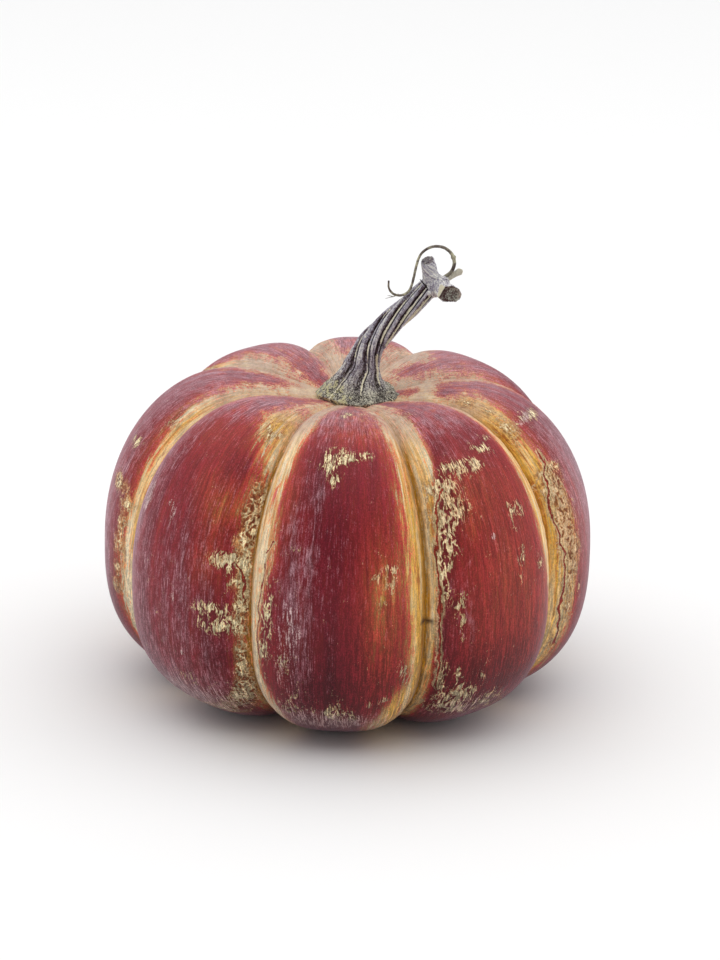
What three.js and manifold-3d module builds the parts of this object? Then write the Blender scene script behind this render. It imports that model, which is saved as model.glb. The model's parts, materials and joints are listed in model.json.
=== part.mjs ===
// A ribbed pumpkin: the fruit, its twisted and ridged stem with the cut vine stubs, and a curled tendril.
// Millimetres, +Z up. The origin is on the table, under the middle of the fruit.
// Azimuths are in degrees round +Z: 0 faces -Y and 90 faces +X.

import * as THREE from "three";
import { ParametricGeometry } from "three/addons/geometries/ParametricGeometry.js";
import { mergeVertices } from "three/addons/utils/BufferGeometryUtils.js";
import Module from "manifold-3d";

const wasm = await Module();
wasm.setup();

const TOUCHING_GAP = 0.3; // left between two pieces that meet

const FRUIT = {
  radius: 120, // from the axis to a rib's crest, at the widest ring
  equator: 72, // height of the widest ring above the table
  crown: { reach: 103, squareness: 2.25 }, // above the widest ring, before the stem's dimple
  belly: { reach: 79, squareness: 2.8 }, // below it: what passes the table is the ribs' flat spots
  stemDimple: { depth: 28.5, radius: 55 },
  blossomDimple: { depth: 18, radius: 35 },
  groove: { depth: 0.112, sharpness: 3.6, fade: 54 }, // depth is a share, and it fades within this radius
  grooveAzimuths: [-25, 21.5, 63.5, 106, 153, 199, 242.5, 290],
  columnsPerRib: 12,
  rows: 36,
  colour: 0x8c2f33,
};

const STEM = {
  foot: new THREE.Vector3(3.5, 0, 150), // middle of the foot's rim
  rise: new THREE.Vector3(0.5, 0, 26), // the next three are from the foot, as a cubic curve's points
  bend: new THREE.Vector3(12, 2.5, 31),
  head: new THREE.Vector3(35, 5, 54),
  root: 9, // how far it goes down below the rim
  footRadius: 21.2,
  footFlare: 0.095, // share of the length over which the foot narrows
  lowRadius: 8.3, // the shaft's, were it to go down to the rim without its foot
  topRadius: 5.1,
  ridges: 5,
  ridgeDepth: 0.2,
  lobeDepth: 0.1, // of the foot's outline, which becomes the ridges' depth
  lobesEnd: 0.2, // by this share of the length
  twist: 155,
  twistStart: 0.2,
  columnsPerRidge: 8,
  rows: 32,
  endRows: 3, // of the rows, for the underside and again for the round top
  colour: 0x6d6a66,
};

// The knot at the stem's top, the two cut ends of the vine and a scrap of leaf stalk.
// These places and the tendril's are from the middle of the stem's foot.
const KNOT = { centre: [36, 5.2, 53.6], radius: 6 };
const STUBS = [
  { from: [35.3, 5, 53.4], to: [32.6, 3.5, 67.7], rootRadius: 4.8, endRadius: 3.3, hollow: 1.8 },
  { from: [38, 7, 53.4], to: [44.5, -2, 51.8], rootRadius: 4.6, endRadius: 5.3, hollow: 1.8 },
  { from: [38, 5.5, 54.5], to: [48.3, 8, 59.8], rootRadius: 1.2, endRadius: 1.9, hollow: 0 },
];
const STUB_FORM = { sides: 12, waistAt: 0.6, waistInset: 0.4, edge: 0.8, lip: 0.86, dish: 0.5 };

// Out of the knot, round a loop, down to the shaft, up round a hook and on to the tip. Both arcs are seen
// from the front, with angles from +X towards +Z, and the tendril comes steadily forwards along them.
const TENDRIL = {
  radius: 0.65,
  sides: 8,
  steps: 60,
  loop: { centre: [36.5, 64.3], radius: 8.9, start: -60, turn: 215, points: 9 },
  hook: { centre: [19.4, 55.1], radius: 5.6, start: -25, turn: -145, points: 6 },
  tip: [13.8, 57.6],
  rootDepth: 8,
  tipDepth: -1.5,
  colour: 0x5b4634,
};

const { degToRad: radians, lerp } = THREE.MathUtils;

// A closed manifold solid of a geometry, whose poles may hold triangles with no area.
function solidOf(geometry) {
  const bare = new THREE.BufferGeometry();
  bare.setAttribute("position", geometry.getAttribute("position"));
  bare.setIndex(geometry.index);
  const merged = mergeVertices(bare, 1e-4);
  const corners = merged.index.array;
  const kept = [];
  for (let i = 0; i < corners.length; i += 3) {
    const [a, b, c] = corners.slice(i, i + 3);
    if (a !== b && b !== c && c !== a) kept.push(a, b, c);
  }
  return new wasm.Manifold(
    new wasm.Mesh({
      numProp: 3,
      vertProperties: merged.attributes.position.array,
      triVerts: new Uint32Array(kept),
    }),
  );
}

function geometryOf(solid) {
  const { vertProperties, triVerts } = solid.getMesh();
  const geometry = new THREE.BufferGeometry();
  geometry.setAttribute("position", new THREE.BufferAttribute(vertProperties, 3));
  geometry.setIndex(new THREE.BufferAttribute(triVerts, 1));
  geometry.computeVertexNormals();
  return geometry;
}

function namedMesh(name, solid, colour, roughness) {
  const material = new THREE.MeshStandardMaterial({ color: colour, roughness, metalness: 0 });
  const mesh = new THREE.Mesh(geometryOf(solid), material);
  mesh.name = name;
  return mesh;
}

// ---------------------------------------------------------------- fruit

// Where round the fruit: u runs once round, and columns stand closer together towards each groove.
// across is -1 at a rib's first groove, 0 on its crest and 1 at its second groove.
function ribPlace(u) {
  const azimuths = FRUIT.grooveAzimuths;
  const ribs = azimuths.length;
  const along = (u % 1) * ribs;
  const rib = Math.floor(along);
  const even = 2 * (along - rib) - 1;
  const across = (even + Math.sin((even * Math.PI) / 2)) / 2;
  const first = azimuths[rib];
  const second = rib + 1 < ribs ? azimuths[rib + 1] : azimuths[0] + 360;
  return { azimuth: (first + second) / 2 + (across * (second - first)) / 2, across };
}

// A rib's crest line, as a distance from the axis and a height from the widest ring.
function crestPoint(latitude) {
  const half = latitude > 0 ? FRUIT.crown : FRUIT.belly;
  const n = half.squareness;
  const side = Math.cos(latitude) / FRUIT.radius;
  const rise = Math.abs(Math.sin(latitude)) / half.reach;
  const reach = (side ** n + rise ** n) ** (-1 / n);
  const distance = reach * Math.cos(latitude);
  const dimple = latitude > 0 ? FRUIT.stemDimple : FRUIT.blossomDimple;
  const sink = dimple.depth * Math.exp(-((distance / dimple.radius) ** 2));
  return { distance, height: reach * Math.sin(latitude) - Math.sign(latitude) * sink };
}

// The fruit, with its skin lifted a little where it cuts what stands on it.
function fruitSolid(lift = 0) {
  const { groove } = FRUIT;
  const skin = (u, v, target) => {
    const { azimuth, across } = ribPlace(u);
    const { distance, height } = crestPoint((v - 0.5) * Math.PI);
    const depth = groove.depth * (1 - Math.exp(-((distance / groove.fade) ** 2)));
    const share = 1 - depth * Math.abs(across) ** groove.sharpness + lift / Math.hypot(distance, height);
    const r = distance * share;
    const a = radians(azimuth);
    target.set(r * Math.sin(a), -r * Math.cos(a), Math.max(0, FRUIT.equator + height * share));
  };
  const columns = FRUIT.columnsPerRib * FRUIT.grooveAzimuths.length;
  return solidOf(new ParametricGeometry(skin, columns, FRUIT.rows));
}

// ---------------------------------------------------------------- stem

const stemLine = new THREE.CubicBezierCurve3(new THREE.Vector3(), STEM.rise, STEM.bend, STEM.head);

function fromFoot(place) {
  return STEM.foot.clone().add(new THREE.Vector3(...place));
}

// The shaft's half width at a share of the way from foot to head, before its ridges.
function shaftRadius(share) {
  const flare = (STEM.footRadius - STEM.lowRadius) * Math.exp(-share / STEM.footFlare);
  return lerp(STEM.lowRadius, STEM.topRadius, share) + flare;
}

// The foot's bowl, the shaft and its round top: v from 0 to 1 gives a share of the way along the line,
// a distance before its start or past its end, and a share of the radius there.
function stemStation(v) {
  const bowl = STEM.endRows / STEM.rows;
  const top = 1 - bowl;
  if (v < bowl) {
    const w = v / bowl;
    return { share: 0, along: -STEM.root * (1 - w ** 2), width: Math.sqrt(w) };
  }
  if (v <= top) return { share: (v - bowl) / (top - bowl), along: 0, width: 1 };
  const turned = ((v - top) / bowl) * (Math.PI / 2);
  return { share: 1, along: STEM.topRadius * Math.sin(turned), width: Math.cos(turned) };
}

function shaftSolid() {
  const skin = (u, v, target) => {
    const { share, along, width } = stemStation(v);
    const centre = stemLine.getPoint(share);
    const tangent = stemLine.getTangent(share);
    const side = new THREE.Vector3(0, 1, 0).cross(tangent).normalize();
    const back = tangent.clone().cross(side);
    const angle = (u % 1) * Math.PI * 2;
    const turned = Math.max(0, share - STEM.twistStart) / (1 - STEM.twistStart);
    const wave = Math.cos(STEM.ridges * (angle + radians(STEM.twist) * turned));
    const depth = lerp(STEM.lobeDepth, STEM.ridgeDepth, Math.min(1, share / STEM.lobesEnd));
    const r = shaftRadius(share) * width * (1 - (depth * (1 - wave)) / 2);
    target.copy(centre).addScaledVector(tangent, along);
    target.addScaledVector(side, r * Math.sin(angle)).addScaledVector(back, -r * Math.cos(angle));
    target.add(STEM.foot);
  };
  return solidOf(new ParametricGeometry(skin, STEM.columnsPerRidge * STEM.ridges, STEM.rows));
}

// A stub is turned on a lathe, with a dished end where it is hollow, and then set from its root to its end.
function stubSolid({ from, to, rootRadius, endRadius, hollow }) {
  const root = fromFoot(from);
  const direction = fromFoot(to).sub(root);
  const length = direction.length();
  const waist = (rootRadius + endRadius) / 2 - STUB_FORM.waistInset;
  const profile = [
    new THREE.Vector2(0, 0),
    new THREE.Vector2(rootRadius, 0),
    new THREE.Vector2(waist, length * STUB_FORM.waistAt),
    new THREE.Vector2(endRadius, length - STUB_FORM.edge),
    new THREE.Vector2(endRadius * STUB_FORM.lip, length),
    new THREE.Vector2(endRadius * STUB_FORM.dish, length - hollow * STUB_FORM.dish),
    new THREE.Vector2(0, length - hollow),
  ];
  const lathe = new THREE.LatheGeometry(profile, STUB_FORM.sides);
  const turn = new THREE.Quaternion().setFromUnitVectors(new THREE.Vector3(0, 1, 0), direction.normalize());
  lathe.applyMatrix4(new THREE.Matrix4().compose(root, turn, new THREE.Vector3(1, 1, 1)));
  return solidOf(lathe);
}

function knotSolid() {
  const knot = new THREE.SphereGeometry(KNOT.radius, 16, 10);
  knot.translate(...fromFoot(KNOT.centre).toArray());
  return solidOf(knot);
}

function stemSolid() {
  const grown = STUBS.reduce((sum, stub) => sum.add(stubSolid(stub)), shaftSolid().add(knotSolid()));
  return grown.subtract(fruitSolid(TOUCHING_GAP)).subtract(tendrilSolid(TOUCHING_GAP));
}

// ---------------------------------------------------------------- tendril

function arcPoints({ centre, radius, start, turn, points }) {
  return Array.from({ length: points }, (_, i) => {
    const a = radians(start + (turn * i) / (points - 1));
    return [centre[0] + radius * Math.cos(a), centre[1] + radius * Math.sin(a)];
  });
}

// The tendril, or with a swell the room that it needs: thicker, and as much longer at its root.
function tendrilSolid(swell = 0) {
  const radius = TENDRIL.radius + swell;
  const section = new THREE.Shape();
  section.absarc(0, 0, radius, 0, Math.PI * 2);
  const flat = [...arcPoints(TENDRIL.loop), ...arcPoints(TENDRIL.hook), TENDRIL.tip];
  const route = flat.map(([x, z], i) => {
    const depth = lerp(TENDRIL.rootDepth, TENDRIL.tipDepth, i / (flat.length - 1));
    return fromFoot([x, depth, z]);
  });
  route[0].lerp(route[1], -swell / route[0].distanceTo(route[1]));
  const extrudePath = new THREE.CatmullRomCurve3(route);
  const curveSegments = TENDRIL.sides / 2; // for each half of a full circle
  return solidOf(new THREE.ExtrudeGeometry(section, { steps: TENDRIL.steps, curveSegments, extrudePath }));
}

const pumpkin = new THREE.Group();
pumpkin.add(
  namedMesh("fruit", fruitSolid(), FRUIT.colour, 0.55),
  namedMesh("stem", stemSolid(), STEM.colour, 0.85),
  namedMesh("tendril", tendrilSolid(), TENDRIL.colour, 0.8),
);

export default pumpkin;
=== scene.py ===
"""Dresses the pumpkin's CAD frame: the brush-painted fruit, the dry twisted stem and the curled tendril.

Shapes are worked out in millimetres, as in the part's source, and turned into metres where a mesh is made.
Azimuths are in degrees round +Z: 0 faces -Y, where the camera stands, and 90 faces +X.
"""
import itertools
import json
import math
import random

import bpy
import numpy as np
from mathutils import Matrix, Vector, noise

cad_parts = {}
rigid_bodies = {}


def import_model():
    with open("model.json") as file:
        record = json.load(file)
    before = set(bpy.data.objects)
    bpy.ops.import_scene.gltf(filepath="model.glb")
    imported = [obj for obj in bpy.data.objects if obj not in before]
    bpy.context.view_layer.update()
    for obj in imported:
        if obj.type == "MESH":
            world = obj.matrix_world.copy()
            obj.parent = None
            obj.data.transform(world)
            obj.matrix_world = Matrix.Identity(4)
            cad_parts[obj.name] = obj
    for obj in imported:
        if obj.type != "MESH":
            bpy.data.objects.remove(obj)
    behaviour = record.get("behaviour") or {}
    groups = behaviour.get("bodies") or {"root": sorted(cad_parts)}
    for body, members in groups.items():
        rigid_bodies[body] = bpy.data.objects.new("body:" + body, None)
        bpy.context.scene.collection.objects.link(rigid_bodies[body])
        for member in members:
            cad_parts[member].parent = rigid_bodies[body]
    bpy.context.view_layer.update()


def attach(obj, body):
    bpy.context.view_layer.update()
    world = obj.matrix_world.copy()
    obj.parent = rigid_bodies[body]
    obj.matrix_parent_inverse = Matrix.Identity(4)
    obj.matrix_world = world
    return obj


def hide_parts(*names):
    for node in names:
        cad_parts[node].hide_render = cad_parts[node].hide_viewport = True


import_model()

MM = 0.001

# The picture that the camera repeats: its size, where the fruit's middle lies in it, and its scale there.
PICTURE = (720, 960)
CENTRE_PIXEL = (347.4, 540.0)
PIXELS_PER_MM = 2.022
CAMERA = {"elevation": 20.25, "distance": 2500.0, "roll": 1.3, "sensor": 36.0}

FRUIT = {
    "radius": 120.0,
    "equator": 72.0,
    "crown": (103.0, 2.25),  # reach above the widest ring, and how square the outline is
    "belly": (79.0, 2.8),
    "stem_dimple": (28.5, 55.0),  # depth and radius
    "blossom_dimple": (18.0, 35.0),
    "groove_depth": 0.112,
    "groove_sharpness": 3.6,
    "groove_fade": 54.0,
    "columns_per_rib": 48,
    "rows": 236,
    "crest_samples": 4001,
    "stroke_radius": 110.0,  # of the space that the brush strokes lie in
}

# Each rib's name and the azimuth of its first groove. The next rib's groove is its second.
RIBS = {
    "front": -25.0,
    "front_right": 21.0,
    "right": 63.5,
    "back_right": 106.0,
    "back": 153.0,
    "back_left": 199.0,
    "left": 242.5,
    "front_left": 290.0,
}
RIB_NAMES = list(RIBS)

# The stem, with the form that the CAD gives it, and then how finely it is divided. Places on the stem and the
# tendril are from the middle of the stem's foot.
STEM = {
    "foot": (3.5, 0.0, 150.0),
    "line": ((0, 0, 0), (0.5, 0, 26), (12, 2.5, 31), (35, 5, 54)),  # a cubic curve's points
    "root": 9.0,
    "foot_radius": 21.2,
    "foot_flare": 0.095,
    "low_radius": 8.3,
    "top_radius": 5.1,
    "lobes": 5,
    "lobe_depth": 0.1,
    "lobes_end": 0.14,
    "twist": 155.0,
    "twist_start": 0.2,
    "length": 68.0,
    "rows": 130,
    "root_rows": 12,
    "top_rows": 10,
    "columns": 100,
    "line_samples": 401,
    "face_size": 0.42,
    "smoothings": 3,
}
# The shaft's ridges. Each has a pale raised line at its left edge, at this angle for the first one higher up
# and for the foot, then a dark furrow, its broad top and a deep hollow, which the bark's colour darkens as
# painted shade. The places are shares of a ridge.
RIDGES = {"number": 7, "line_at": 24.0, "line_at_foot": 6.0, "top": 0.4, "hollow": 0.82, "hollow_width": 0.15}
# The pale line: its half width, how much its width and its place wander, how far apart the lines' wanderings
# are read, and where it shifts at the foot. Then the dark furrow beside it and the weaker second line.
LINE = {
    "width": 0.42, "wander": 0.25, "sway": 0.04, "apart": 31, "shifts": (0.3, 0.04), "furrow_at": 0.95,
    "furrow_width": 0.42, "second_at": 0.45, "second_width": 0.4,
}
# The foot's crust: how far up the stem it reaches, and how much it hides of the bark's parts.
CRUST = {"reach": 0.09, "hides": {"cream": 0.3, "ink": 0.5, "hollow": 0.75, "ridge": 0.6}}
# How far the bark's parts stand out, in millimetres.
LIFTS = {"ridge": 0.35, "hollow": -1.05, "cream": 0.45, "ink": -0.5, "fibres": 0.28, "foot": 0.55, "cut": 0.5}
# The noises on the stem: the size of their bumps in millimetres, and how far their patterns are shifted.
STEM_NOISES = {
    "wander": (12.0, 0.0), "broken": (9.0, 7.0), "second": (14.0, 3.0), "fibres": (1.3, 30.0),
    "pebbles": (2.4, 5.0), "scales": (3.0, 9.0), "flakes": (1.1, 2.0),
}
GRAINS_APART = 200.0  # between the patterns of the shaft, the knots and the stubs
# The lump where the vine was, and its shoulder to the right.
KNOTS = ({"centre": (36.0, 5.2, 53.6), "radius": 6.0}, {"centre": (40.2, 6.0, 55.2), "radius": 3.1})
KNOB = {"centre": (33.5, -0.8, 51.5), "radius": 1.25}

# The two cut ends of the vine: from where to where, the radius at the root, the end's outline as corners
# across and upwards from its middle, how hollow and how rounded it is, how it slants, the bark's twist and
# how bare the cut is.
STUBS = (
    {
        "from": (35.3, 5.0, 53.4),
        "to": (32.4, 3.5, 67.1),
        "root": 5.0,
        "outline": ((3.3, 0.4), (2.4, 2.5), (0, 3.2), (-2.5, 2.5),
                    (-3.4, 0.2), (-2.6, -2.6), (0.2, -3.4), (2.6, -2.4)),
        "hollow": 0.7,
        "rim": 1.2,
        "slant": (0.1, 0.3),
        "twist": -0.2,
        "cut": 0.56,
    },
    {
        "from": (37.5, 7.0, 53.2),
        "to": (44.5, -2.2, 51.9),
        "root": 4.9,
        "outline": ((6.9, -1.6), (4.8, 1.8), (0.5, 4.3), (-4.7, 5.0),
                    (-8.5, -0.6), (-4.1, -3.8), (3.7, -5.2), (6.1, -4.1)),
        "hollow": 2.4,
        "rim": 0.3,
        "slant": (0.0, 0.0),
        "twist": 0.09,
        "cut": 1.0,
    },
)
END_RINGS = (0.88, 0.74, 0.6, 0.4, 0.2, 0.02)  # from a cut end's rim to its middle, as shares of its outline
STUB_WAIST = 0.08  # how much thinner a stub is halfway
STUB_ROWS, STUB_COLUMNS = 20, 64
BALL_ROWS, BALL_COLUMNS = 26, 36  # of the lumps
# The pale slice on the second stub's side: the angles round it, its length at the lower and upper end, and
# how soft its edges are, in millimetres and in degrees.
FACET = {
    "angles": (134.0, 188.0), "heights": (-0.6, 3.2), "lengths": (0.8, 4.4), "blur": 0.4, "turn_blur": 4.0,
}
# The scrap of leaf stalk, and a thin dry spur beside the knot.
SCRAP = {"path": ((41.5, 6.7, 55.0), (44.5, 7.2, 57.6), (47.0, 7.4, 59.5), (49.6, 7.6, 60.9)), "widest": 2.1}
SPUR = {"path": ((28.9, 0.3, 58.2), (30.6, -0.4, 56.4), (32.4, -0.8, 54.2)), "radius": 0.36}
# The tendril's two arcs and its tip as seen from the front, and the thin thread that leaves its hook.
TENDRIL = {
    "loop": {"centre": (36.5, 64.8), "radius": 9.0, "start": -60, "turn": 215, "points": 9},
    "hook": {"centre": (19.4, 55.1), "radius": 5.6, "start": -25, "turn": -145, "points": 6},
    "tip": (13.8, 57.6),
    "depths": (8.0, -1.5),  # at its root and its tip
    "radii": (1.0, 0.9, 0.72, 0.64, 0.62, 0.6, 0.42),
    "knob": (0.2, 0.012, 0.5),  # how far along, how long and how much thicker
    "bumps": (0.12, 1.6),  # height and size
    "thread_radii": (0.24, 0.1),
    "thread": ((18.6, -0.9, 50.9), (16.6, -1.3, 49.6), (14.7, -1.4, 49.2), (12.4, -1.2, 48.4)),
    "branch": ((16.2, -1.3, 49.5), (14.6, -1.6, 50.0), (13.4, -1.6, 50.1)),
}


# ---------------------------------------------------------------- formulas that several parts share


def unit(vectors):
    vectors = np.asarray(vectors, float)
    return vectors / np.linalg.norm(vectors, axis=-1, keepdims=True)


def soft(value, low, high):
    """0 at low, 1 at high and smooth between them."""
    t = np.clip((value - low) / (high - low), 0, 1)
    return t * t * (3 - 2 * t)


def bell(value, width):
    """1 at 0, with a smooth fall on both sides to almost 0 at two widths."""
    return np.exp(-((value / width) ** 2))


def noise_at(points, size, shift=0.0):
    """Smooth noise from -1 to 1 at points, with bumps of about a size in millimetres."""
    flat = points.reshape(-1, 3) / size + shift
    values = np.array([noise.noise(point) for point in flat.tolist()])
    return values.reshape(points.shape[:-1])


def angles(count):
    """Even steps round a circle, in radians."""
    return np.linspace(0, 2 * math.pi, count, endpoint=False)


# ---------------------------------------------------------------- the fruit's shape


def crest_line(latitude):
    """A crest's distance from the axis and height over the widest ring."""
    halves = zip(FRUIT["crown"] + FRUIT["stem_dimple"], FRUIT["belly"] + FRUIT["blossom_dimple"])
    reach, square, depth, width = (np.where(latitude > 0, above, below) for above, below in halves)
    out = np.abs(np.cos(latitude)) / FRUIT["radius"]
    up = np.abs(np.sin(latitude)) / reach
    length = (out**square + up**square) ** (-1 / square)
    distance = length * np.cos(latitude)
    return distance, length * np.sin(latitude) - np.sign(latitude) * depth * bell(distance, width)


def crest_arc():
    """Latitudes from pole to pole, and how far along the crest each lies from the widest ring."""
    latitude = np.linspace(-math.pi / 2, math.pi / 2, FRUIT["crest_samples"])
    distance, height = crest_line(latitude)
    steps = np.hypot(np.diff(distance), np.diff(height))
    arc = np.concatenate([[0.0], np.cumsum(steps)])
    return latitude, arc - np.interp(0.0, latitude, arc)


class Skin:
    """The fruit's skin as a grid of points, one row for each ring from the blossom end to the stem."""

    def __init__(self):
        ribs, per_rib = len(RIBS), FRUIT["columns_per_rib"]
        latitudes, arcs = crest_arc()
        rows = np.linspace(arcs[0], arcs[-1], FRUIT["rows"] + 2)[1:-1]
        even = np.linspace(-1, 1, per_rib, endpoint=False)
        across = (even + np.sin(even * math.pi / 2)) / 2  # closer together towards each groove
        starts = np.array(list(RIBS.values()))
        widths = np.diff(np.append(starts, starts[0] + 360.0))
        rib = np.repeat(np.arange(ribs), per_rib)
        self.rib, self.arc = np.broadcast_arrays(rib[None, :], rows[:, None])
        self.across = np.broadcast_to(np.tile(across, ribs)[None, :], self.rib.shape)
        self.azimuth = np.radians(starts[self.rib] + widths[self.rib] * (self.across + 1) / 2)
        distance, height = crest_line(np.interp(self.arc, arcs, latitudes))
        self.half_width = distance * np.radians(widths[self.rib] / 2)
        self.points = self.surface(distance, height)

    def surface(self, distance, height):
        depth = FRUIT["groove_depth"] * (1 - bell(distance, FRUIT["groove_fade"]))
        share = 1 - depth * np.abs(self.across) ** FRUIT["groove_sharpness"]
        out = distance * share
        up = np.maximum(0, FRUIT["equator"] + height * share)
        return np.stack([out * np.sin(self.azimuth), -out * np.cos(self.azimuth), up], axis=-1)

    def normals(self):
        along = np.gradient(self.points, axis=0)
        around = np.roll(self.points, -1, axis=1) - np.roll(self.points, 1, axis=1)
        normal = np.cross(around, along)
        return normal / np.maximum(np.linalg.norm(normal, axis=-1, keepdims=True), 1e-9)

    def stroke(self):
        """A seamless space whose first two axes run round the fruit and whose third follows the ribs."""
        radius = FRUIT["stroke_radius"]
        return np.stack([radius * np.sin(self.azimuth), -radius * np.cos(self.azimuth), self.arc], axis=-1)

    def dab(self, rib, across, arc, wide, long, strength=1.0, lean=0.0):
        """A soft spot on one rib, with its half width and half length in millimetres."""
        side = (self.across - across) * self.half_width
        up = self.arc - arc
        turn = math.radians(lean)
        x = side * math.cos(turn) - up * math.sin(turn)
        y = side * math.sin(turn) + up * math.cos(turn)
        return strength * bell(x, wide) * bell(y, long) * (self.rib == RIB_NAMES.index(rib))

    def beside_line(self, rib, places):
        """How far each point is to the right of a line down a rib, and how close to it: 1 on it, 0 away."""
        across, arcs = zip(*reversed(places))
        offset = (self.across - np.interp(self.arc, arcs, across)) * self.half_width
        beyond = np.maximum(self.arc - arcs[-1], arcs[0] - self.arc).clip(0)
        close = bell(np.hypot(offset / CRACK_REACH, beyond), 1.0)
        return offset, close * (self.rib == RIB_NAMES.index(rib))


# ---------------------------------------------------------------- the fruit's paint

# How far out from a rib's crest the red paint reaches, at these places along the rib, first side and second.
BAND_ARCS = (-90, -60, -30, 0, 30, 60, 90, 120, 150)
BAND_EDGES = {
    ("front", 0): (0.45, 0.60, 0.83, 0.82, 0.66, 0.71, 0.66, 0.46, 0.20),
    ("front", 1): (0.30, 0.42, 0.77, 0.79, 0.73, 0.73, 0.71, 0.66, 0.40),
    ("front_right", 0): (0.88, 0.90, 0.90, 0.90, 0.90, 0.82, 0.66, 0.66, 0.35),
    ("front_right", 1): (0.85, 0.85, 0.85, 0.72, 0.57, 0.56, 0.55, 0.46, 0.30),
    ("right", 0): (0.70, 0.72, 0.66, 0.63, 0.63, 0.68, 0.76, 0.85, 0.30),
    ("right", 1): (0.75, 0.80, 0.85, 0.82, 0.78, 0.60, 0.45, 0.38, 0.30),
    ("back_right", 0): (0.70, 0.80, 0.84, 0.84, 0.82, 0.80, 0.80, 0.78, 0.10),
    ("back_right", 1): (0.60, 0.72, 0.78, 0.82, 0.80, 0.72, 0.60, 0.30, 0.10),
    ("back", 0): (0.60, 0.70, 0.80, 0.84, 0.84, 0.80, 0.78, 0.70, 0.00),
    ("back", 1): (0.70, 0.76, 0.80, 0.82, 0.84, 0.78, 0.66, 0.50, 0.00),
    ("back_left", 0): (0.65, 0.78, 0.84, 0.80, 0.80, 0.84, 0.86, 0.80, 0.60),
    ("back_left", 1): (0.70, 0.74, 0.78, 0.82, 0.80, 0.70, 0.66, 0.62, 0.60),
    ("left", 0): (0.60, 0.70, 0.78, 0.82, 0.80, 0.72, 0.55, 0.50, 0.30),
    ("left", 1): (0.76, 0.80, 0.80, 0.78, 0.82, 0.84, 0.73, 0.63, 0.30),
    ("front_left", 0): (0.70, 0.78, 0.82, 0.84, 0.82, 0.80, 0.75, 0.62, 0.40),
    ("front_left", 1): (0.90, 0.90, 0.90, 0.90, 0.88, 0.83, 0.72, 0.62, 0.30),
}

# In the band beside each groove, at these places: how golden the ground is, from cream at 0, and how much
# thin red lies on it. Then how wide the change to full red and the groove's olive are, in millimetres. The
# olive darkens into the crease, partly the groove's own colour and partly painted shade.
TONE_ARCS = (-60, 0, 60, 120)
PLAIN_SIDE = {"gold": (0.45, 0.45, 0.4, 0.2), "thin": (0.15, 0.15, 0.2, 0.2), "feather": 5.0, "olive": 1.6}
BAND_TONES = {
    ("front", 0): {"gold": (0.2, 0.22, 0.3, 0.1), "thin": (0.25, 0.26, 0.28, 0.12), "feather": 2.5},
    ("front", 1): {"gold": (0.9, 1.1, 0.7, 0.1), "thin": (0.1, 0, 0.16, 0.16), "feather": 6.5, "olive": 3.2},
    ("front_right", 0): {"gold": (0.5, 0.3, 0.8, 0.4), "thin": (0.1, 0, 0.1, 0.25), "feather": 1.4},
    ("front_right", 1): {"gold": (0.6, 0.95, 0.95, 0.3), "thin": (0.1, 0.02, 0.04, 0.25), "feather": 4.0},
    ("right", 0): {"gold": (1, 0.8, 0.9, 0.8), "thin": (0.15, 0.1, 0.12, 0.1), "feather": 4.0, "olive": 2.6},
    ("left", 1): {"gold": (0.1, 0.1, 0.55, 0.5), "thin": (0.1, 0.1, 0.12, 0.25), "feather": 4.0},
    ("front_left", 0): {"gold": (0.6, 0.8, 0.8, 0.5), "thin": (0.2, 0.1, 0.1, 0.2)},
    ("front_left", 1): {"gold": (0.5, 0.75, 0.6, 0.5), "thin": (0.15, 0.25, 0.34, 0.1)},
}

# From here to here along the crest the strokes give way to soft mottling round the stem, the bloom and its
# painted sheen thin out, and painted shade darkens the colours towards the bottom. The painted shade is
# weaker on the front left rib.
NEAR_STEM = (78.0, 128.0)
SHEEN_AND_BLOOM_THIN = (30.0, -40.0)
PAINTED_SHADE_BELOW = (25.0, -70.0)
LESS_PAINTED_SHADE_BELOW = ("front_left", 0, -20, 50, 50, 0.35)
# Near the stem: the least red on a band, and how much of the red, the gold and the grooves' olive, with its
# painted shade, is lost.
NEAR = {"least_red": 0.31, "cover": 0.2, "gold": 0.4, "deep": 0.85}
# The bloom everywhere, and how much more there is towards a rib's left side, near the stem and lower down.
# Part of it is painted light: the extra on the ribs' left sides is painted sheen along the edges, and the
# extra near the stem is painted reflection of the light above.
SHEEN_AND_BLOOM = {"everywhere": 0.18, "left": 0.2, "near": 0.3, "low": -0.15}
EDGE_STEEPNESS = 2.2
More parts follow.
